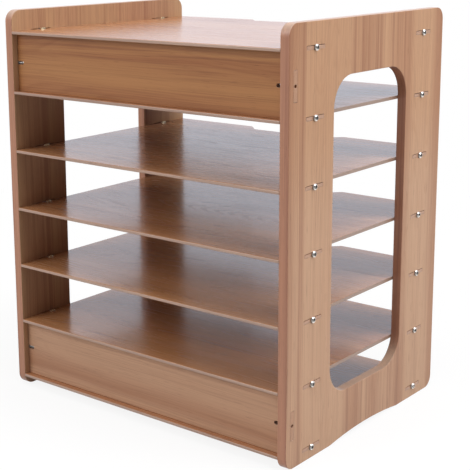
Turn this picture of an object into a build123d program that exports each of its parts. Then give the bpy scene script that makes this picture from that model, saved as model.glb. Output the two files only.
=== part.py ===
from build123d import *
import os

# A knock-down desk organizer for paper: two side panels carry seven thin boards.
# X runs across the width, the front faces -Y, and Z = 0 is the surface it stands on.

# Side panels, with one large window each and a shallow arch between their feet
panel_thickness = 9.0
panel_depth = 256.0
clear_width = 314.0
panel_corner_radius = 11.0
panel_edge_round = 0.6
cheek_height = 20.0
front_stile = 67.0
rear_stile = 67.0
bottom_rail = 46.0
top_rail = 48.5
window_corner_radius = 28.0
foot_arch_width = 117.0
foot_arch_rise = 4.0

# Boards: the bottom board, five shelves and the top board
board_count = 7
board_thickness = 3.0
board_pitch = 58.0
floor_gap = 9.0
board_edge_round = 0.8

# Finger notch in the rear edge of every board
notch_floor_width = 90.0
notch_flare = 13.0
notch_depth = 14.0
notch_corner_radius = 5.0

# Board tenons and the mortises that take them
tenon_inset = 38.0
tenon_length = 26.0
mortise_end_gap = 0.3
mortise_gap_below = 0.1
mortise_gap_above = 0.4
mortise_corner_radius = 0.5

# Screw and square nut in each board tenon
screw_diameter = 2.9
screw_length = 15.5
screw_tip_chamfer = 0.4
head_diameter = 6.0
head_height = 2.1
head_round = 1.5
recess_width = 1.0
recess_length = 3.4
recess_depth = 1.2
recess_first_turn = 12.0
recess_turn_step = 37.0
nut_width = 5.5
nut_thickness = 1.8
nut_corner_round = 0.5
nut_bore_clearance = 0.05
nut_web = 2.2
nut_slot_clearance = 0.15
screw_slot_clearance = 0.15
screw_end_clearance = 1.2

# Front panels, let in behind the boards' front edges at the top and at the bottom
front_recess = 6.5
front_thickness = 5.0
front_top_gap = 0.2
front_edge_round = 0.4
front_tenon_height = 26.0
front_mortise_gap = 0.2

# Set screw in each end of a front panel
set_screw_diameter = 3.0
set_screw_length = 10.0
set_screw_chamfer = 0.3
set_screw_bore_gap = 0.1
set_screw_slot_gap = 0.2
set_screw_slot_length = 8.0
set_screw_socket_width = 1.5
set_screw_socket_depth = 1.6
left_set_screw_inset = 6.2
right_set_screw_inset = 4.2

# Places that follow from the sizes
inner_face = clear_width / 2
outer_face = inner_face + panel_thickness
overall_width = 2 * outer_face
front_edge = -panel_depth / 2
rear_edge = panel_depth / 2
tenon_places = (front_edge + tenon_inset, rear_edge - tenon_inset)
top_level = board_count - 1
panel_height = floor_gap + top_level * board_pitch + board_thickness + cheek_height
front_middle = front_edge + front_recess + front_thickness / 2
front_levels = {"upper": top_level - 1, "lower": 0}
sides = {"left": -1, "right": 1}


def underside(level):
    """Height of a board's lower face."""
    return floor_gap + level * board_pitch


def board_middle(level):
    """Height of the middle of a board's thickness."""
    return underside(level) + board_thickness / 2


def front_bottom(level):
    """Height of a front panel's lower edge, which rests on the board of that level."""
    return underside(level) + board_thickness


def front_height():
    """A front panel fills the gap between two boards, less its top gap."""
    return board_pitch - board_thickness - front_top_gap


def front_centre(level):
    """Height of the middle of a front panel and of its tenons."""
    return front_bottom(level) + front_height() / 2


def along_x(profile, start, end):
    """Stretch a profile drawn in the side view (Y across, Z up) from one X to another."""
    low, high = sorted((start, end))
    return extrude(Plane.YZ.offset(low) * profile, high - low)


def rod(diameter, start, end, y, z):
    """A round bar along X."""
    return along_x(Pos(y, z) * Circle(diameter / 2), start, end)


def foot_arch():
    """The shallow arch that leaves a foot at the front and the rear of a panel."""
    left = (-foot_arch_width / 2, 0)
    right = (foot_arch_width / 2, 0)
    curve = ThreePointArc(left, (0, foot_arch_rise), right)
    return make_face([curve, Line(right, left)])


def panel_outline():
    """Side view of a side panel."""
    window_height = panel_height - bottom_rail - top_rail
    window_place = Pos((front_stile - rear_stile) / 2, bottom_rail + window_height / 2)
    window_depth = panel_depth - front_stile - rear_stile
    outline = Pos(0, panel_height / 2) * RectangleRounded(panel_depth, panel_height, panel_corner_radius)
    outline -= window_place * RectangleRounded(window_depth, window_height, window_corner_radius)
    return outline - foot_arch()


def board_mortises():
    """Side view of the mortises for the board tenons."""
    height = mortise_gap_below + board_thickness + mortise_gap_above
    opening = RectangleRounded(tenon_length + 2 * mortise_end_gap, height, mortise_corner_radius)
    places = []
    for level in range(board_count):
        middle = underside(level) - mortise_gap_below + height / 2
        places += [Pos(y, middle) for y in tenon_places]
    return [place * opening for place in places]


def front_mortises():
    """Side view of the mortises for the front panels' tenons."""
    opening = Rectangle(front_thickness + 2 * front_mortise_gap, front_tenon_height + 2 * front_mortise_gap)
    return [Pos(front_middle, front_centre(level)) * opening for level in front_levels.values()]


def side_panel(side):
    """A side panel with rounded edges and its mortises."""
    panel = along_x(panel_outline(), side * inner_face, side * outer_face)
    edges = panel.faces().sort_by(Axis.X)[0].edges() + panel.faces().sort_by(Axis.X)[-1].edges()
    panel = fillet(edges, panel_edge_round)
    for opening in board_mortises() + front_mortises():
        panel -= along_x(opening, side * inner_face, side * outer_face)
    return panel


def notch():
    """Top view of the flared finger notch in a board's rear edge."""
    floor = notch_floor_width / 2
    mouth = floor + notch_flare
    bottom = rear_edge - notch_depth
    return make_face(Polyline((-mouth, rear_edge), (-floor, bottom), (floor, bottom), (mouth, rear_edge), close=True))


def board_outline():
    """Top view of a board with its four tenons and its notch."""
    outline = Rectangle(clear_width, panel_depth)
    for y in tenon_places:
        outline += Pos(0, y) * Rectangle(overall_width, tenon_length)
    outline -= notch()
    mouth = notch_floor_width / 2 + notch_flare
    corners = [v for v in outline.vertices() if v.Y > rear_edge - notch_depth - 0.1 and abs(v.X) < mouth + 0.1]
    return fillet(corners, notch_corner_radius)


def screw_slot(side, y):
    """Top view of the T-shaped slot for one screw and its nut, open at the tenon's end."""
    slot_width = screw_diameter + 2 * screw_slot_clearance
    slot_end = outer_face - screw_length - screw_end_clearance + slot_width / 2
    stem = Pos((outer_face + slot_end) / 2, 0) * Rectangle(outer_face - slot_end, slot_width)
    stem += Pos(slot_end, 0) * Circle(slot_width / 2)
    nut_slot = Rectangle(nut_thickness + nut_slot_clearance, nut_width + 2 * nut_slot_clearance)
    stem += Pos(inner_face - nut_web - (nut_thickness + nut_slot_clearance) / 2, 0) * nut_slot
    if side < 0:
        stem = mirror(stem, Plane.YZ)
    return Pos(0, y) * stem


def board(level):
    """A board with rounded front and rear edges and four screw slots."""
    base = Plane.XY.offset(underside(level))
    shape = extrude(base * board_outline(), board_thickness)
    long_edges = shape.edges().filter_by(Axis.X).group_by(Axis.Y)
    shape = fillet(long_edges[0] + long_edges[-1], board_edge_round)
    for side in sides.values():
        for y in tenon_places:
            shape -= extrude(base * screw_slot(side, y), board_thickness)
    return shape


def recess(turn):
    """Side view of the cross recess in a screw's head, turned about the screw's axis."""
    arm = Rectangle(recess_length, recess_width)
    return Rot(0, 0, turn) * (arm + Rot(0, 0, 90) * arm)


def screw(side, y, z, turn):
    """A pan-head screw whose head bears on a side panel's outer face."""
    head_top = outer_face + head_height
    head = rod(head_diameter, outer_face, head_top, 0, 0)
    head = fillet(head.edges().sort_by(Axis.X)[-1], head_round)
    head -= along_x(recess(turn), head_top - recess_depth, head_top)
    shank = rod(screw_diameter, outer_face - screw_length, outer_face, 0, 0)
    shank = chamfer(shank.edges().sort_by(Axis.X)[0], screw_tip_chamfer)
    whole = head + shank
    if side < 0:
        whole = mirror(whole, Plane.YZ)
    return Pos(0, y, z) * whole


def nut(side, y, z):
    """A square nut that stands on edge in its slot and bears on the web behind the shoulder."""
    bore = Circle(screw_diameter / 2 + nut_bore_clearance)
    profile = RectangleRounded(nut_width, nut_width, nut_corner_round) - bore
    bearing = inner_face - nut_web
    return along_x(Pos(y, z) * profile, side * bearing, side * (bearing - nut_thickness))


def board_screws(level):
    """The four screws of one board."""
    pieces = []
    for side in sides.values():
        for y in tenon_places:
            turn = recess_first_turn + recess_turn_step * (len(pieces) + 4 * level)
            pieces.append(screw(side, y, board_middle(level), turn))
    return Compound(children=pieces)


def board_nuts(level):
    """The four nuts of one board."""
    return Compound(children=[nut(side, y, board_middle(level)) for side in sides.values() for y in tenon_places])


def front_panel(level):
    """A front panel with a through tenon at each end, and a slot and a bore for each set screw."""
    height = front_height()
    place = Pos(0, front_middle, front_centre(level))
    shape = place * Box(clear_width, front_thickness, height)
    shape = fillet(shape.edges().filter_by(Axis.X).group_by(Axis.Y)[0], front_edge_round)
    shape += place * Box(overall_width, front_thickness, front_tenon_height)
    slot_height = set_screw_diameter + 2 * set_screw_slot_gap
    slot_end = inner_face - set_screw_slot_length + slot_height / 2
    slot = Box(inner_face - slot_end, front_thickness, slot_height)
    end_round = Rot(90, 0, 0) * Cylinder(slot_height / 2, front_thickness)
    bore = set_screw_diameter + 2 * set_screw_bore_gap
    for side in sides.values():
        shape -= place * Pos(side * (inner_face + slot_end) / 2, 0, 0) * slot
        shape -= place * Pos(side * slot_end, 0, 0) * end_round
        shape -= rod(bore, side * inner_face, side * outer_face, front_middle, front_centre(level))
    return shape


def set_screw(side, level, inset):
    """A headless screw along X, with a hexagon socket in the end that faces outwards."""
    outer_end = outer_face - inset
    y = front_middle
    z = front_centre(level)
    shape = rod(set_screw_diameter, side * outer_end, side * (outer_end - set_screw_length), y, z)
    shape = chamfer(shape.edges().filter_by(GeomType.CIRCLE), set_screw_chamfer)
    socket = Pos(y, z) * RegularPolygon(set_screw_socket_width / 2, 6, major_radius=False)
    return shape - along_x(socket, side * outer_end, side * (outer_end - set_screw_socket_depth))


def front_set_screws(level):
    """The two set screws of one front panel, which sit at different depths."""
    left = set_screw(sides["left"], level, left_set_screw_inset)
    right = set_screw(sides["right"], level, right_set_screw_inset)
    return Compound(children=[left, right])


def board_name(level):
    """The bottom and the top board have their own names, and the shelves are counted upwards."""
    ends = {0: "bottom_board", top_level: "top_board"}
    return ends.get(level, f"shelf_board_{level}")


for name, side in sides.items():
    export_step(side_panel(side), f"parts/{name}_side_panel.step")

for level in range(board_count):
    export_step(board(level), f"parts/{board_name(level)}.step")
    export_step(board_screws(level), f"parts/{board_name(level)}_screws.step")
    export_step(board_nuts(level), f"parts/{board_name(level)}_nuts.step")

for name, level in front_levels.items():
    export_step(front_panel(level), f"parts/{name}_front_panel.step")
    export_step(front_set_screws(level), f"parts/{name}_front_panel_set_screws.step")
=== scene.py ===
import math

import bmesh
import bpy
from mathutils import Matrix, Vector


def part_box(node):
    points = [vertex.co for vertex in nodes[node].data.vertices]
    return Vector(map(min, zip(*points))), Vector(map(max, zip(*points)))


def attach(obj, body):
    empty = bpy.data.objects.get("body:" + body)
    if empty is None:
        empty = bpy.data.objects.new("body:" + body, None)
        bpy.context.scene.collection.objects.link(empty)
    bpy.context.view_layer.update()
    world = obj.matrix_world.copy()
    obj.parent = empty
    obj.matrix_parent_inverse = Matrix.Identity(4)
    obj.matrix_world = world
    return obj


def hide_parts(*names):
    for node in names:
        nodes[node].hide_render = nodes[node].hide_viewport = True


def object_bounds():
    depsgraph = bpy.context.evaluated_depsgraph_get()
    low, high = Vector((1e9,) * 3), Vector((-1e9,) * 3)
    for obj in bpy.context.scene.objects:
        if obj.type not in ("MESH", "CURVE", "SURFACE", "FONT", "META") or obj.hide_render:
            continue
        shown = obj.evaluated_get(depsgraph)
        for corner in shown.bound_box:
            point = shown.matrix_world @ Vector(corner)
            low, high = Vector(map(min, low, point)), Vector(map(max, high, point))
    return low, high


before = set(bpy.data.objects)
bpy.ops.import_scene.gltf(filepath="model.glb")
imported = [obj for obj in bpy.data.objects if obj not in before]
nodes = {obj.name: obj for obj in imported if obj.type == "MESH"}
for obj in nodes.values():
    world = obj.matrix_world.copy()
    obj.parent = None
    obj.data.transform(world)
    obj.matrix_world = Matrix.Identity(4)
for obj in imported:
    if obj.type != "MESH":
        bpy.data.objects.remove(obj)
cad_box = [list(corner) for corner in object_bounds()]

# Places read from the frame, in metres: the object's middle, and the side panels' outer faces
middle = (Vector(cad_box[0]) + Vector(cad_box[1])) / 2
outer_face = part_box("right_side_panel")[1][0]

# The photograph's frame and the camera that was fitted to it
frame_pixels = 470.0
sensor_width = 36.0
focal_pixels = 1167.536
centre_column = 185.0
centre_row = 180.0
camera_place = Vector((0.69095, -0.88986, 0.44715))
camera_azimuth = math.radians(39.733)
camera_tilt = math.radians(11.755)
camera_roll = math.radians(-0.540)


def add_camera():
    """The camera at the photograph's place, angle and framing."""
    forward = Vector((-math.sin(camera_azimuth) * math.cos(camera_tilt),
                      math.cos(camera_azimuth) * math.cos(camera_tilt),
                      -math.sin(camera_tilt)))
    level_right = forward.cross(Vector((0, 0, 1))).normalized()
    level_up = level_right.cross(forward)
    right = math.cos(camera_roll) * level_right + math.sin(camera_roll) * level_up
    up = math.cos(camera_roll) * level_up - math.sin(camera_roll) * level_right
    data = bpy.data.cameras.new("photo_camera")
    data.sensor_width = sensor_width
    data.lens = focal_pixels / frame_pixels * sensor_width
    data.shift_x = (frame_pixels / 2 - centre_column) / frame_pixels
    data.shift_y = (centre_row - frame_pixels / 2) / frame_pixels
    data.clip_start = 0.01
    camera = bpy.data.objects.new("photo_camera", data)
    bpy.context.scene.collection.objects.link(camera)
    turn = Matrix((right, up, -forward)).transposed()
    camera.matrix_world = Matrix.Translation(camera_place) @ turn.to_4x4()
    bpy.context.scene.camera = camera


# Node helpers. Each adds its nodes to a tree and gives back what the next step needs.

def new_node(tree, kind, inputs=None, **settings):
    """Adds a node, sets its properties, and sets or links the inputs that are given by name or number."""
    node = tree.nodes.new(kind)
    for name, value in settings.items():
        setattr(node, name, value)
    for name, value in (inputs or {}).items():
        if isinstance(value, bpy.types.NodeSocket):
            tree.links.new(value, node.inputs[name])
        else:
            node.inputs[name].default_value = value
    return node


def math_node(tree, operation, first, second=0.0, third=0.0):
    """One arithmetic step."""
    values = {0: first, 1: second, 2: third}
    return new_node(tree, "ShaderNodeMath", values, operation=operation).outputs[0]


def product(tree, value, *others):
    """The values multiplied together."""
    for other in others:
        value = math_node(tree, "MULTIPLY", value, other)
    return value


def about_zero(tree, value, reach):
    """A value from 0 to 1 turned to a swing about zero, with this reach from end to end."""
    return product(tree, math_node(tree, "SUBTRACT", value, 0.5), reach)


def between(tree, value, zero_at, one_at):
    """0 at the one value and beyond, 1 at the other and beyond, and smooth in between."""
    given = {"Value": value, "From Min": zero_at, "From Max": one_at}
    return new_node(tree, "ShaderNodeMapRange", given, interpolation_type="SMOOTHSTEP").outputs["Result"]


def mix_colour(tree, share, first, second, mode="MIX"):
    """A blend of two colours."""
    colours = {0: share, 6: first, 7: second}
    return new_node(tree, "ShaderNodeMix", colours, data_type="RGBA", blend_type=mode).outputs[2]


def vector_node(tree, operation, first, second=(0.0, 0.0, 0.0)):
    """One step of vector arithmetic. Its outputs are Vector and Value."""
    return new_node(tree, "ShaderNodeVectorMath", {0: first, 1: second}, operation=operation).outputs


def stretched(tree, vector, scales):
    """Coordinates scaled on each axis."""
    return vector_node(tree, "MULTIPLY", vector, scales)["Vector"]


def one_axis(tree, vector, axis):
    """The X, the Y or the Z value of a vector."""
    return new_node(tree, "ShaderNodeSeparateXYZ", {0: vector}).outputs[axis]


def surface_normal(tree):
    """The way that the surface faces."""
    return new_node(tree, "ShaderNodeNewGeometry").outputs["Normal"]


def facing(tree, axis):
    """How squarely the surface faces along one axis, from 0 to 1."""
    return math_node(tree, "ABSOLUTE", one_axis(tree, surface_normal(tree), axis))


def square_to(tree, axis):
    """1 on the surfaces that face along one axis, and 0 on the others."""
    return between(tree, facing(tree, axis), 0.55, 0.8)


def noise(tree, vector, scale=1.0, detail=2.0, roughness=0.5, distortion=0.0):
    """A noise value from 0 to 1, about 0.5 on average."""
    given = {"Vector": vector, "Scale": scale, "Detail": detail, "Roughness": roughness,
             "Distortion": distortion}
    return new_node(tree, "ShaderNodeTexNoise", given).outputs["Fac"]


def grain_noise(tree, vector, scales, detail=2.0, roughness=0.5):
    """Noise drawn out along X, given its scale along X and its scale across it."""
    with_grain, across_grain = scales
    drawn_out = stretched(tree, vector, (with_grain, across_grain, across_grain))
    return noise(tree, drawn_out, 1.0, detail, roughness)


def new_group(name, inputs, outputs):
    """An empty shader node group, whose sockets' names are listed by kind, and its two ends to link to."""
    group = bpy.data.node_groups.new(name, "ShaderNodeTree")
    for direction, sockets in (("INPUT", inputs), ("OUTPUT", outputs)):
        for kind, socket_names in sockets.items():
            for socket_name in socket_names:
                group.interface.new_socket(socket_name, in_out=direction, socket_type="NodeSocket" + kind)
    given = group.nodes.new("NodeGroupInput").outputs
    results = group.nodes.new("NodeGroupOutput").inputs
    return group, given, results


def place_group(tree, group, **values):
    """Places a group in a material, with its own values."""
    return new_node(tree, "ShaderNodeGroup", values, node_tree=group).outputs


def linear(value):
    """A screen value from 0 to 255, as the linear value that a shader takes."""
    share = value / 255
    return ((share + 0.055) / 1.055) ** 2.4 if share > 0.04045 else share / 12.92


def srgb(red, green, blue):
    """A colour written as screen values, as the linear colour that a shader takes."""
    return linear(red), linear(green), linear(blue), 1.0


def new_material(name):
    """A material with its Principled shader, and Object coordinates."""
    material = bpy.data.materials.new(name)
    material.use_nodes = True
    tree = material.node_tree
    shader = tree.nodes["Principled BSDF"]
    coordinates = tree.nodes.new("ShaderNodeTexCoord").outputs["Object"]
    return material, tree, shader, coordinates


# Grain: the printed wood figure of the laminate. Its layers are noise drawn out along the grain, and each
# has its scale along the grain and its scale across it.

wander_scales = (3.0, 14.0)
band_scales = (0.9, 38.0)
streak_scales = (1.43, 156.0)
relief_scales = (1.6, 17.0)
fading_scales = (11.0, 70.0)
fibre_scales = (12.0, 1100.0)
pore_scales = (60.0, 1300.0)
thread_scale_across = 760.0
lines_in_relief = 62.0
fibre_share = 0.22
pore_share = 0.4


def make_grain_group():
    """The vector has X along the grain. Calm fades the figure, and Shortness shortens the threads."""
    group, given, results = new_group(
        "laminate_grain",
        {"Vector": ["Vector"], "Color": ["Light", "Middle", "Dark", "Pore"],
         "Float": ["Figure", "Streaks", "Threads", "Shortness", "Wander", "Calm"]},
        {"Color": ["Color"], "Float": ["Height", "Pores"]})
    # The grain wanders a few millimetres to each side along its length
    wander = grain_noise(group, given["Vector"], wander_scales)
    shift = about_zero(group, wander, given["Wander"])
    apart = new_node(group, "ShaderNodeCombineXYZ", {"Y": shift}).outputs[0]
    bent = vector_node(group, "ADD", given["Vector"], apart)["Vector"]
    # Broad bands of tone, and deep streaks, both weaker where the sheet is calm
    lively = math_node(group, "MULTIPLY_ADD", given["Calm"], -0.85, 1.0)
    bands = between(group, grain_noise(group, bent, band_scales, 3.0, 0.55), 0.3, 0.6)
    tone = mix_colour(group, product(group, bands, lively), given["Light"], given["Middle"])
    streaks = between(group, grain_noise(group, bent, streak_scales, 3.0, 0.6), 0.48, 0.66)
    tone = mix_colour(group, product(group, streaks, given["Streaks"], lively), tone, given["Dark"])
    # Growth lines: level lines of a long smooth relief, which fade in and out
    relief = grain_noise(group, bent, relief_scales, 1.0)
    phase = math_node(group, "FRACT", product(group, relief, lines_in_relief))
    fading = between(group, grain_noise(group, bent, fading_scales, 3.0, 0.6), 0.42, 0.6)
    lines = product(group, between(group, phase, 0.35, 0.9), between(group, phase, 1.0, 0.9), fading)
    half_calmed = math_node(group, "MULTIPLY_ADD", lively, 0.5, 0.5)
    tone = mix_colour(group, product(group, lines, given["Figure"], half_calmed), tone, given["Dark"])
    # Threads: thin streaks, shorter in some sheets than in others
    reach = {"X": given["Shortness"], "Y": thread_scale_across, "Z": thread_scale_across}
    thread_scales = new_node(group, "ShaderNodeCombineXYZ", reach).outputs[0]
    threads = between(group, noise(group, stretched(group, bent, thread_scales), 1.0, 3.0, 0.6), 0.48, 0.66)
    part_calmed = math_node(group, "MULTIPLY_ADD", lively, 0.6, 0.4)
    tone = mix_colour(group, product(group, threads, given["Threads"], part_calmed), tone, given["Dark"])
    # Fine fibres and short dark pores
    fibres = between(group, grain_noise(group, bent, fibre_scales, 2.0, 0.6), 0.45, 0.75)
    tone = mix_colour(group, product(group, fibres, fibre_share), tone, given["Pore"])
    pores = between(group, grain_noise(group, bent, pore_scales, 1.0), 0.66, 0.78)
    tone = mix_colour(group, product(group, pores, pore_share), tone, given["Pore"])
    # The growth lines and the pores are pressed into the sheet
    sunk = math_node(group, "MAXIMUM", product(group, lines, 0.6), pores)
    group.links.new(tone, results["Color"])
    group.links.new(math_node(group, "SUBTRACT", 1.0, sunk), results["Height"])
    group.links.new(sunk, results["Pores"])
    return group


def make_wear_group():
    """The outer edges as a mask that is broken up as by handling, and the normal that rounds them."""
    group, given, results = new_group(
        "edge_wear",
        {"Vector": ["Vector"], "Float": ["Radius", "Broken"]},
        {"Float": ["Worn"], "Vector": ["Normal"]})
    rounded = new_node(group, "ShaderNodeBevel", {"Radius": given["Radius"]}, samples=4).outputs[0]
    alike = vector_node(group, "DOT_PRODUCT", rounded, surface_normal(group))["Value"]
    edge = between(group, math_node(group, "SUBTRACT", 1.0, alike), 0.01, 0.22)
    broken = noise(group, given["Vector"], given["Broken"], 4.0, 0.65)
    group.links.new(product(group, edge, between(group, broken, 0.46, 0.66)), results["Worn"])
    group.links.new(rounded, results["Normal"])
    return group


# Handling: smears are drawn out like wiping marks, and dust lies in small dull specks
smear_stretch = (14.0, 20.0, 20.0)
speck_scale = 2600.0
dust_dullness = 0.12


def make_handling_group():
    """Faint smears and dust that change the gloss. Clean is the roughness of the clean surface."""
    group, given, results = new_group(
        "handling",
        {"Vector": ["Vector"], "Float": ["Clean", "Spread"]},
        {"Float": ["Roughness", "Dust"]})
    smears = noise(group, stretched(group, given["Vector"], smear_stretch), 1.0, 4.0, 0.6, 0.8)
    smeared = math_node(group, "ADD", given["Clean"], about_zero(group, smears, given["Spread"]))
    dust = between(group, noise(group, given["Vector"], speck_scale, 1.0), 0.74, 0.8)
    rough = math_node(group, "ADD", smeared, product(group, dust, dust_dullness))
    group.links.new(rough, results["Roughness"])
    group.links.new(dust, results["Dust"])
    return group


grain_group = make_grain_group()
wear_group = make_wear_group()
handling_group = make_handling_group()

# The laminates. Each has four tones as screen values: light wood, middle wood, dark lines and pores.

right_panel_tones = ((202, 162, 131), (180, 135, 106), (156, 108, 84), (112, 76, 58))
left_panel_tones = ((186, 148, 112), (176, 134, 104), (142, 94, 73), (102, 66, 50))
panel_edge_tones = ((188, 136, 108), (174, 122, 99), (142, 94, 76), (98, 64, 50))
board_tones = ((184, 132, 90), (168, 114, 76), (122, 74, 50), (78, 48, 34))
board_edge_tones = ((184, 152, 132), (174, 140, 120), (146, 112, 96), (106, 78, 66))
upper_front_tones = ((175, 123, 77), (156, 100, 62), (122, 71, 45), (82, 46, 30))
lower_front_tones = ((192, 150, 120), (170, 122, 92), (150, 104, 80), (100, 66, 50))

panel_grain = {"Figure": 0.15, "Streaks": 0.6, "Threads": 0.4, "Shortness": 4.0, "Wander": 0.012}
board_grain = {"Figure": 0.7, "Streaks": 0.25, "Threads": 0.5, "Shortness": 14.0, "Wander": 0.03}
upper_front_grain = {"Figure": 0.25, "Streaks": 0.3, "Threads": 0.5, "Shortness": 7.0, "Wander": 0.008}
lower_front_grain = {"Figure": 0.12, "Streaks": 0.15, "Threads": 0.3, "Shortness": 7.0, "Wander": 0.014}
edge_grain = {"Figure": 0.1, "Streaks": 0.7, "Threads": 0.4, "Shortness": 6.0, "Wander": 0.01}
edge_calm = 0.4

# Each offset picks a sheet's own stretch of the print
panel_offset = (0.2, 0.0, 0.0)
board_offset = (0.31, 0.07, 0.0)
upper_front_offset = (0.9, 0.4, 0.2)
lower_front_offset = (1.7, 0.1, 0.6)

# The wood is calm and pale in these bands: the axis, the softness, and each band's middle and half width
right_panel_bands = ("Y", 0.004, ((-0.068, 0.034), (0.094, 0.022)))
# On the two fronts, the darker, livelier wood above each calm band is partly painted shade under the board
# above; the lower front is also darker below its band
upper_front_bands_and_shade = ("Z", 0.012, ((0.323, 0.012),))
lower_front_bands_and_shade = ("Z", 0.012, ((0.046, 0.012),))
band_drift_stretch = (1.0, 6.0, 1.6)
band_drift = 0.03
chance_scales = (0.5, 11.0)

# The faces: their roughness, the strength of their relief, their clear coat and their refractive index
satin_face = {"roughness": 0.42, "relief": 0.25, "coat": 0.0, "index": 1.38}
glossy_face = {"roughness": 0.25, "relief": 0.8, "coat": 0.4, "index": 1.5}
edge_roughness = 0.3
coat_roughness = 0.16
relief_depth = 0.00005
pore_dullness = 0.12

# The right panel is warmer towards its top, between these two heights
warm_tint = (0.945, 0.875, 0.785, 1.0)
warm_low = 0.2
warm_high = 0.31

# The boards' ends: raw inside the windows, and finished like the panels where a tenon comes through
raw_end_tone = srgb(158, 130, 114)
tenon_end_tone = srgb(184, 140, 111)
tenon_end_depth = 0.001
end_pore_share = 0.5

# Painted sheen and dust: a paler tone on a panel's edges that face up
sheen_and_dust_tone = srgb(196, 184, 166)
sheen_and_dust_share = 0.4

# Worn arrises and dust
arris_radius = 0.0007
arris_patches = 160.0
worn_tone = srgb(214, 184, 160)
worn_share = 0.35
dust_tone = srgb(205, 196, 188)
dust_share = 0.2
smear_spread = 0.05


def along(tree, coordinates, axes, offset):
    """Coordinates reordered so that the first axis named becomes X, and moved by an offset."""
    parts = new_node(tree, "ShaderNodeSeparateXYZ", {0: coordinates}).outputs
    joined = new_node(tree, "ShaderNodeCombineXYZ", {index: parts[axis] for index, axis in enumerate(axes)})
    return vector_node(tree, "ADD", joined.outputs[0], offset)["Vector"]


def calm_by_bands(tree, coordinates, axis, softness, bands):
    """1 inside the calm bands of a sheet, whose borders drift a little."""
    drift = about_zero(tree, noise(tree, stretched(tree, coordinates, band_drift_stretch)), band_drift)
    place = math_node(tree, "ADD", one_axis(tree, coordinates, axis), drift)
    calm = 0.0
    for middle_of_band, half_width in bands:
        away = math_node(tree, "ABSOLUTE", math_node(tree, "SUBTRACT", place, middle_of_band))
        inside = between(tree, away, half_width + softness, half_width - softness)
        calm = math_node(tree, "MAXIMUM", calm, inside)
    return calm


def printed_sheet(tree, print_place, tones, grain, calm):
    """The print in one sheet's tones and values."""
    light, middle_tone, dark, pore = (srgb(*tone) for tone in tones)
    return place_group(tree, grain_group, Vector=print_place, Light=light, Middle=middle_tone, Dark=dark,
                       Pore=pore, Calm=calm, **grain)


def printed_face(tree, coordinates, axes, offset, tones, grain, bands):
    """A printed face, which is calm in its bands or, where it has none, in stretches spread by chance."""
    print_place = along(tree, coordinates, axes, offset)
    if bands is None:
        calm = between(tree, grain_noise(tree, print_place, chance_scales, 1.0), 0.6, 0.38)
    else:
        calm = calm_by_bands(tree, coordinates, *bands)
    return printed_sheet(tree, print_place, tones, grain, calm)


def finish_laminate(tree, shader, coordinates, face_axis, face, face_colour, edge_colour, roughness, relief,
                    coat, index):
    """Joins the face and its edges, wears the arrises, and gives the sheet its gloss and its relief."""
    on_face = square_to(tree, face_axis)
    colour = mix_colour(tree, on_face, edge_colour, face_colour)
    wear = place_group(tree, wear_group, Vector=coordinates, Radius=arris_radius, Broken=arris_patches)
    colour = mix_colour(tree, product(tree, wear["Worn"], worn_share), colour, worn_tone)
    clean = math_node(tree, "MULTIPLY_ADD", on_face, roughness - edge_roughness, edge_roughness)
    handling = place_group(tree, handling_group, Vector=coordinates, Clean=clean, Spread=smear_spread)
    colour = mix_colour(tree, product(tree, handling["Dust"], dust_share), colour, dust_tone)
    rough = math_node(tree, "ADD", handling["Roughness"], product(tree, face["Pores"], pore_dullness))
    pressed = {"Strength": relief, "Distance": relief_depth, "Height": face["Height"],
               "Normal": wear["Normal"]}
    tree.links.new(colour, shader.inputs["Base Color"])
    tree.links.new(rough, shader.inputs["Roughness"])
    tree.links.new(new_node(tree, "ShaderNodeBump", pressed).outputs[0], shader.inputs["Normal"])
    shader.inputs["IOR"].default_value = index
    shader.inputs["Coat Weight"].default_value = coat
    shader.inputs["Coat Roughness"].default_value = coat_roughness


def panel_laminate(name, tones, bands=None, warm_top=False):
    """A side panel: its grain stands up, and its edges that face up are painted paler, partly as painted sheen
    and partly as dust.
    """
    material, tree, shader, coordinates = new_material(name)
    face = printed_face(tree, coordinates, "ZYX", panel_offset, tones, panel_grain, bands)
    face_colour = face["Color"]
    if warm_top:
        warmth = between(tree, one_axis(tree, coordinates, "Z"), warm_low, warm_high)
        face_colour = mix_colour(tree, warmth, face_colour, warm_tint, "MULTIPLY")
    edge_place = along(tree, coordinates, "ZXY", panel_offset)
    edge = printed_sheet(tree, edge_place, panel_edge_tones, edge_grain, edge_calm)
    # Painted sheen and dust: edges that face up are mixed towards a pale tone
    upward = between(tree, one_axis(tree, surface_normal(tree), "Z"), 0.1, 0.8)
    edge_colour = mix_colour(tree, product(tree, upward, sheen_and_dust_share), edge["Color"], sheen_and_dust_tone)
    finish_laminate(tree, shader, coordinates, "X", face, face_colour, edge_colour, **satin_face)
    return material


def board_laminate(name, face_axis, face_axes, edge_axes, offset, tones, grain, finish, bands=None):
    """A board whose grain runs from side to side, with raw ends inside and finished tenon ends outside."""
    material, tree, shader, coordinates = new_material(name)
    face = printed_face(tree, coordinates, face_axes, offset, tones, grain, bands)
    edge_place = along(tree, coordinates, edge_axes, offset)
    edge = printed_sheet(tree, edge_place, board_edge_tones, edge_grain, edge_calm)
    across = math_node(tree, "ABSOLUTE", one_axis(tree, coordinates, "X"))
    outside = between(tree, across, outer_face - 2 * tenon_end_depth, outer_face - tenon_end_depth)
    end_tone = mix_colour(tree, outside, raw_end_tone, tenon_end_tone)
    edge_dark = srgb(*board_edge_tones[2])
    end_tone = mix_colour(tree, product(tree, edge["Pores"], end_pore_share), end_tone, edge_dark)
    edge_colour = mix_colour(tree, square_to(tree, "X"), edge["Color"], end_tone)
    finish_laminate(tree, shader, coordinates, face_axis, face, face["Color"], edge_colour, **finish)
    return material


def front_laminate(name, offset, tones, grain, bands):
    """A front panel, whose face looks forward."""
    return board_laminate(name, "Y", "XZY", "XYZ", offset, tones, grain, satin_face, bands)
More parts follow.
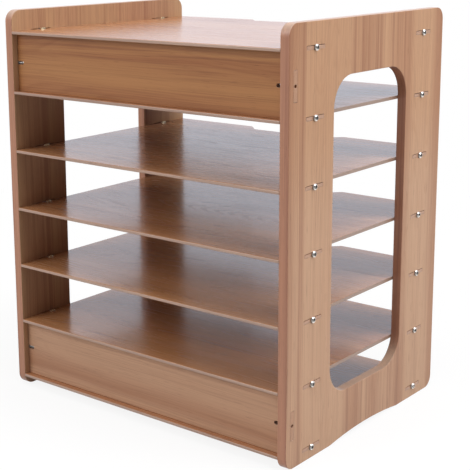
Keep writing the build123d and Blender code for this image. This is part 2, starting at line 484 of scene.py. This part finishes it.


# Plated steel: stained in patches, with painted shade where it is let in, and a painted dim reflection of the
# level room where it faces level or forward
patch_scale = 420.0
patch_share = 0.35
patch_dullness = 0.12
plate_arris_radius = 0.0003
recess_reach = 0.0012
recess_painted_shade_tone = srgb(50, 45, 42)
painted_horizon_tone = srgb(104, 98, 94)
forward_share = 0.9
turning_stretch = (9000.0, 700.0, 700.0)
turning_relief = 0.15
turning_depth = 0.00003


def plated(name, tone, stain, roughness, painted_horizon_share):
    """Bright plated steel with fine turning lines round X, along which the fasteners lie."""
    material, tree, shader, coordinates = new_material(name)
    patches = noise(tree, coordinates, patch_scale, 3.0, 0.6)
    stained = product(tree, between(tree, patches, 0.4, 0.75), patch_share)
    colour = mix_colour(tree, stained, srgb(*tone), srgb(*stain))
    # Painted shade: ambient occlusion darkens the base colour in the recesses, where shade falls
    open_share = new_node(tree, "ShaderNodeAmbientOcclusion", {"Distance": recess_reach}, samples=8,
                          only_local=True).outputs["AO"]
    colour = mix_colour(tree, between(tree, open_share, 0.35, 0.8), recess_painted_shade_tone, colour)
    # Painted reflection: faces that look level or forward are darkened towards a dim tone, standing in for the
    # dim room they mirror
    level = between(tree, facing(tree, "Z"), 0.34, 0.06)
    forward = between(tree, one_axis(tree, surface_normal(tree), "Y"), -0.4, -0.75)
    painted_reflection = math_node(tree, "MAXIMUM", level, product(tree, forward, forward_share))
    colour = mix_colour(tree, product(tree, painted_reflection, painted_horizon_share), colour, painted_horizon_tone)
    rough = math_node(tree, "ADD", roughness, product(tree, patches, patch_dullness))
    rounded = place_group(tree, wear_group, Vector=coordinates, Radius=plate_arris_radius)["Normal"]
    turned = {"Strength": turning_relief, "Distance": turning_depth, "Normal": rounded,
              "Height": noise(tree, stretched(tree, coordinates, turning_stretch))}
    tree.links.new(colour, shader.inputs["Base Color"])
    tree.links.new(rough, shader.inputs["Roughness"])
    tree.links.new(new_node(tree, "ShaderNodeBump", turned).outputs[0], shader.inputs["Normal"])
    shader.inputs["Metallic"].default_value = 1.0
    return material


nickel_plate = plated("bright_nickel", (244, 240, 234), (214, 206, 196), 0.1, 0.8)
zinc_plate = plated("yellow_zinc", (240, 224, 188), (204, 184, 146), 0.22, 0.0)


def dress(node, material):
    """Gives an object its finish."""
    node.data.materials.clear()
    node.data.materials.append(material)


def dress_cad_nodes():
    """Each CAD node gets its kind's finish, which the end of its name tells. Any other node is a board."""
    finishes = (
        ("right_side_panel", panel_laminate("right_panel_laminate", right_panel_tones, right_panel_bands,
                                            warm_top=True)),
        ("left_side_panel", panel_laminate("left_panel_laminate", left_panel_tones)),
        ("upper_front_panel", front_laminate("upper_front_laminate", upper_front_offset, upper_front_tones,
                                             upper_front_grain, upper_front_bands_and_shade)),
        ("lower_front_panel", front_laminate("lower_front_laminate", lower_front_offset, lower_front_tones,
                                             lower_front_grain, lower_front_bands_and_shade)),
        ("_screws", nickel_plate),
        ("_nuts", zinc_plate),
        ("", board_laminate("board_laminate", "Z", "XYZ", "XZY", board_offset, board_tones, board_grain,
                            glossy_face)))
    for name, node in nodes.items():
        dress(node, next(finish for ending, finish in finishes if name.endswith(ending)))


# Fasteners: threaded screws with cross recesses, threaded set screws and square nuts with eased corners.
# Each is modelled once, standing on the Z axis, and copies of it are laid in the boards along X.

head_sides = 40
head_round = 0.0015
head_round_steps = 6
recess_width = 0.0012
recess_length = 0.0037
recess_depth = 0.0012
recess_taper = 0.6
recess_first_turn = math.radians(12)
recess_turn_step = math.radians(37)
shank_sides = 24
shank_share_of_head = 2.9 / 6.0
thread_depth = 0.00025
thread_pitch = 0.0005
thread_steps = 16
tip_bevel = 0.0004
socket_width = 0.0015
socket_depth = 0.0016
socket_turn = math.radians(35)
nut_corner = 0.0005
nut_ease = 0.0002
nut_bore_sides = 28
nut_clearance = 0.00006
smooth_angle = math.radians(35)


def start_from_primitive(add, **settings):
    """Adds a primitive with nothing else selected, and applies its turn and place."""
    bpy.ops.object.select_all(action="DESELECT")
    add(**settings)
    bpy.ops.object.transform_apply(location=True, rotation=True, scale=True)
    return bpy.context.active_object


def bevel_edges(piece, chosen, offset, segments):
    """Bevels the edges for which chosen, given the edge's two ends, is true."""
    bpy.context.view_layer.objects.active = piece
    bpy.ops.object.mode_set(mode="EDIT")
    bpy.ops.mesh.select_mode(type="EDGE")
    bpy.ops.mesh.select_all(action="DESELECT")
    mesh = bmesh.from_edit_mesh(piece.data)
    for edge in mesh.edges:
        edge.select_set(chosen(edge.verts[0].co, edge.verts[1].co))
    bmesh.update_edit_mesh(piece.data)
    bpy.ops.mesh.bevel(offset=offset, segments=segments, profile=0.5, clamp_overlap=True)
    bpy.ops.object.mode_set(mode="OBJECT")


def at_height(height):
    """Chooses the edges that lie level at one height."""
    return lambda one, other: abs(one.z - height) < 1e-6 and abs(other.z - height) < 1e-6


def cut(piece, cutter):
    """Takes the cutter's shape out of the piece, and removes the cutter."""
    tool = piece.modifiers.new("cut", "BOOLEAN")
    tool.operation = "DIFFERENCE"
    tool.solver = "EXACT"
    tool.object = cutter
    bpy.ops.object.select_all(action="DESELECT")
    bpy.context.view_layer.objects.active = piece
    piece.select_set(True)
    bpy.ops.object.modifier_apply(modifier=tool.name)
    bpy.data.objects.remove(cutter, do_unlink=True)


def join_into(piece, others):
    """Joins the others into the piece."""
    bpy.ops.object.select_all(action="DESELECT")
    for other in others:
        other.select_set(True)
    piece.select_set(True)
    bpy.context.view_layer.objects.active = piece
    bpy.ops.object.join()
    return piece


def recess_bar(top, turn):
    """One bar of the cross recess, narrower at its floor."""
    bar = start_from_primitive(bpy.ops.mesh.primitive_cube_add, size=1, location=(0, 0, top))
    bpy.ops.object.mode_set(mode="EDIT")
    bpy.ops.mesh.select_all(action="SELECT")
    bar_size = (recess_length, recess_width, 2 * recess_depth)
    bpy.ops.transform.resize(value=bar_size, center_override=(0, 0, top))
    bpy.ops.mesh.select_mode(type="FACE")
    bpy.ops.mesh.select_all(action="DESELECT")
    mesh = bmesh.from_edit_mesh(bar.data)
    for face in mesh.faces:
        face.select_set(face.normal.z < -0.9)
    bmesh.update_edit_mesh(bar.data)
    bpy.ops.transform.resize(value=(recess_taper, recess_taper, 1), center_override=(0, 0, top))
    bpy.ops.object.mode_set(mode="OBJECT")
    bar.data.transform(Matrix.Rotation(turn, 4, "Z"))
    return bar


def thread(radius, low, high):
    """The ridge of a screw thread: a small triangle carried up a helix, with its ends closed."""
    # An equilateral triangle is one and a half times as high as its corners' radius
    corner = thread_depth / 1.5
    ridge = start_from_primitive(bpy.ops.mesh.primitive_circle_add, vertices=3, radius=corner,
                                 rotation=(math.pi / 2, math.pi / 2, 0), location=(radius - corner, 0, low))
    helix = ridge.modifiers.new("helix", "SCREW")
    helix.axis = "Z"
    helix.angle = math.tau
    helix.screw_offset = thread_pitch
    helix.iterations = int((high - low) / thread_pitch)
    helix.steps = thread_steps
    helix.render_steps = thread_steps
    bpy.ops.object.modifier_apply(modifier=helix.name)
    bpy.ops.object.mode_set(mode="EDIT")
    bpy.ops.mesh.select_all(action="SELECT")
    bpy.ops.mesh.fill_holes(sides=3)
    bpy.ops.mesh.select_all(action="SELECT")
    bpy.ops.mesh.normals_make_consistent(inside=False)
    bpy.ops.object.mode_set(mode="OBJECT")
    return ridge


def threaded_shank(radius, low, high):
    """A round core with a thread on it, eased at its lower end."""
    core = start_from_primitive(bpy.ops.mesh.primitive_cylinder_add, vertices=shank_sides,
                                radius=radius - thread_depth, depth=high - low,
                                location=(0, 0, (low + high) / 2))
    bevel_edges(core, at_height(low), tip_bevel, 2)
    ridge = thread(radius, low + tip_bevel + thread_pitch, high - thread_pitch)
    return join_into(core, [ridge])


def pan_head_screw(head_radius, head_height, shank_radius, length):
    """The head bears at height 0, and the shank hangs below it."""
    head = start_from_primitive(bpy.ops.mesh.primitive_cylinder_add, vertices=head_sides, radius=head_radius,
                                depth=head_height, location=(0, 0, head_height / 2))
    bevel_edges(head, at_height(head_height), head_round, head_round_steps)
    for turn in (0.0, math.pi / 2):
        cut(head, recess_bar(head_height, turn))
    return join_into(head, [threaded_shank(shank_radius, -length, 0.0)])


def headless_screw(radius, length):
    """A set screw with a six-sided socket, whose upper end is at height 0."""
    shank = threaded_shank(radius, -length, 0.0)
    corner_radius = socket_width / 2 / math.cos(math.pi / 6)
    cut(shank, start_from_primitive(bpy.ops.mesh.primitive_cylinder_add, vertices=6, radius=corner_radius,
                                    depth=2 * socket_depth))
    return shank


def square_nut(width, thickness, bore_radius):
    """A square nut whose upper face is at height 0."""
    nut = start_from_primitive(bpy.ops.mesh.primitive_cube_add, size=1, location=(0, 0, 0))
    bpy.ops.object.mode_set(mode="EDIT")
    bpy.ops.mesh.select_all(action="SELECT")
    bpy.ops.transform.resize(value=(width, width, thickness))
    bpy.ops.transform.translate(value=(0, 0, -thickness / 2))
    bpy.ops.object.mode_set(mode="OBJECT")
    bevel_edges(nut, lambda one, other: abs(one.z - other.z) > thickness / 2, nut_corner, 3)
    bevel_edges(nut, lambda one, other: abs(one.z - other.z) < 1e-6, nut_ease, 2)
    cut(nut, start_from_primitive(bpy.ops.mesh.primitive_cylinder_add, vertices=nut_bore_sides,
                                  radius=bore_radius, depth=3 * thickness))
    return nut


def laid_copy(piece, side, x, y, z, turn=0.0):
    """A copy with its own mesh, its upper end turned to one side of the organizer."""
    copy = bpy.data.objects.new(piece.name, piece.data.copy())
    bpy.context.scene.collection.objects.link(copy)
    lie_down = Matrix.Rotation(side * math.pi / 2, 4, "Y")
    copy.data.transform(Matrix.Translation((x, y, z)) @ lie_down @ Matrix.Rotation(turn, 4, "Z"))
    return copy


def finish_piece(copies, name, node_name, material):
    """Joins copies into one piece that stands for its CAD node."""
    piece = join_into(copies[0], copies[1:])
    piece.name = name
    piece.data.name = name
    bpy.ops.object.shade_smooth_by_angle(angle=smooth_angle)
    dress(piece, material)
    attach(piece, "root")
    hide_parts(node_name)


def corners(node_name):
    """The least and the greatest corner of a CAD node."""
    low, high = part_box(node_name)
    return Vector(low), Vector(high)


def reach_from_middle(node_name, side=None):
    """How near to the middle plane and how far from it a CAD node reaches, on one side or on both."""
    spots = [vertex.co.x for vertex in nodes[node_name].data.vertices]
    if side is not None:
        spots = [x for x in spots if x * side > 0]
    distances = [abs(x) for x in spots]
    return min(distances), max(distances)


def add_board_fasteners(screw_material, nut_material):
    """Each board's four screws, two from each side, and the nut that each of them holds."""
    boards = sorted((name for name in nodes if name + "_nuts" in nodes), key=lambda name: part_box(name)[0][2])
    low, high = corners(boards[0] + "_screws")
    head_radius = (high.z - low.z) / 2
    shank_radius = shank_share_of_head * head_radius
    tip, head_top = reach_from_middle(boards[0] + "_screws")
    one_screw = pan_head_screw(head_radius, head_top - outer_face, shank_radius, outer_face - tip)
    low, high = corners(boards[0] + "_nuts")
    nut_inner, nut_outer = reach_from_middle(boards[0] + "_nuts")
    one_nut = square_nut(high.z - low.z, nut_outer - nut_inner, shank_radius + nut_clearance)
    turns = 0
    for board in boards:
        low, high = corners(board + "_screws")
        height = (low.z + high.z) / 2
        screws, nuts = [], []
        for side in (-1, 1):
            for y in (low.y + head_radius, high.y - head_radius):
                turn = recess_first_turn + recess_turn_step * turns
                screws.append(laid_copy(one_screw, side, side * outer_face, y, height, turn))
                nuts.append(laid_copy(one_nut, side, side * nut_outer, y, height))
                turns += 1
        finish_piece(screws, board + "_pan_head_screws", board + "_screws", screw_material)
        finish_piece(nuts, board + "_square_nuts", board + "_nuts", nut_material)
    bpy.data.objects.remove(one_screw, do_unlink=True)
    bpy.data.objects.remove(one_nut, do_unlink=True)


def add_set_screws(material):
    """Each front panel's two set screws, one in each end."""
    names = [name for name in nodes if name.endswith("set_screws")]
    low, high = corners(names[0])
    inner, outer = reach_from_middle(names[0], 1)
    one_screw = headless_screw((high.z - low.z) / 2, outer - inner)
    for name in names:
        low, high = corners(name)
        centre = (low + high) / 2
        screws = []
        for side in (-1, 1):
            outer = reach_from_middle(name, side)[1]
            screws.append(laid_copy(one_screw, side, side * outer, centre.y, centre.z, side * socket_turn))
        finish_piece(screws, name.replace("set_screws", "socket_screws"), name, material)
    bpy.data.objects.remove(one_screw, do_unlink=True)


# The room: a pale floor, an even white surround with one dark wall, and large soft lamps

white = (1.0, 1.0, 1.0, 1.0)
surround_strength = 0.31
gloss_tint = (0.95, 0.975, 1.085, 1.0)
dark_wall_tone = (0.1, 0.1, 0.11, 1.0)
floor_tone = (0.92, 0.92, 0.92, 1.0)
floor_bounce = (0.5, 0.5, 0.5, 1.0)
floor_size = 30.0
glow_near = 0.87
fade_start = 0.3
fade_end = 1.0


def light_path(tree):
    """The kinds of light ray."""
    return tree.nodes.new("ShaderNodeLightPath").outputs


def white_in_view(tree):
    """1 for rays that should see plain white: from the camera, off gloss, and through glass."""
    rays = light_path(tree)
    seen = math_node(tree, "MAXIMUM", rays["Is Camera Ray"], rays["Is Glossy Ray"])
    return math_node(tree, "MAXIMUM", seen, rays["Is Transmission Ray"])


def add_surround():
    """Bright to the eye and in gloss, and weaker as a light. The eye doesn't see the dark right wall."""
    world = bpy.data.worlds.new("studio")
    bpy.context.scene.world = world
    world.use_nodes = True
    tree = world.node_tree
    background = tree.nodes["Background"]
    strengths = {0: white_in_view(tree), 2: surround_strength, 3: 1.0}
    strength = new_node(tree, "ShaderNodeMix", strengths, data_type="FLOAT").outputs[0]
    way = tree.nodes.new("ShaderNodeTexCoord").outputs["Generated"]
    rightward = between(tree, one_axis(tree, way, "X"), 0.35, 0.65)
    wall = product(tree, rightward, between(tree, one_axis(tree, way, "Z"), 0.5, 0.25))
    rays = light_path(tree)
    unseen_wall = math_node(tree, "MAXIMUM", math_node(tree, "SUBTRACT", wall, rays["Is Camera Ray"]), 0.0)
    tint = mix_colour(tree, rays["Is Glossy Ray"], white, gloss_tint)
    tint = mix_colour(tree, unseen_wall, tint, dark_wall_tone)
    tree.links.new(strength, background.inputs["Strength"])
    tree.links.new(tint, background.inputs["Color"])


def add_floor():
    """A pale floor that stays white to the eye and keeps a soft shadow."""
    bpy.ops.object.select_all(action="DESELECT")
    bpy.ops.mesh.primitive_plane_add(size=floor_size, location=(0, 0, 0))
    floor = bpy.context.active_object
    floor.name = "floor"
    material = bpy.data.materials.new("pale_floor")
    material.use_nodes = True
    tree = material.node_tree
    tree.nodes.remove(tree.nodes["Principled BSDF"])
    tone = mix_colour(tree, light_path(tree)["Is Diffuse Ray"], floor_tone, floor_bounce)
    matte = new_node(tree, "ShaderNodeBsdfDiffuse", {"Color": tone}).outputs[0]
    glow = new_node(tree, "ShaderNodeEmission", {"Color": white}).outputs[0]
    coordinates = tree.nodes.new("ShaderNodeTexCoord").outputs["Object"]
    distance = vector_node(tree, "LENGTH", coordinates)["Value"]
    fade = {"Value": distance, "From Min": fade_start, "From Max": fade_end, "To Min": glow_near,
            "To Max": 1.0}
    far = new_node(tree, "ShaderNodeMapRange", fade, interpolation_type="SMOOTHSTEP").outputs["Result"]
    share = product(tree, white_in_view(tree), far)
    both = new_node(tree, "ShaderNodeMixShader", {0: share, 1: matte, 2: glow}).outputs[0]
    tree.links.new(both, tree.nodes["Material Output"].inputs["Surface"])
    floor.data.materials.append(material)


def add_lamp(name, place, size, power):
    """A large soft square lamp that points at the middle of the object."""
    data = bpy.data.lights.new(name, "AREA")
    data.shape = "SQUARE"
    data.size = size
    data.energy = power
    lamp = bpy.data.objects.new(name, data)
    bpy.context.scene.collection.objects.link(lamp)
    lamp.location = place
    lamp.rotation_euler = (middle - Vector(place)).to_track_quat("-Z", "Y").to_euler()


add_camera()
dress_cad_nodes()
add_board_fasteners(nickel_plate, zinc_plate)
add_set_screws(nickel_plate)
add_surround()
add_floor()
add_lamp("top_lamp", (0.35, -0.1, 2.2), size=1.6, power=30.0)
add_lamp("right_lamp", (1.8, 0.6, 1.5), size=1.3, power=31.0)
add_lamp("front_lamp", (-0.9, -2.0, 1.5), size=1.3, power=29.0)

bpy.context.scene.view_settings.view_transform = "Standard"
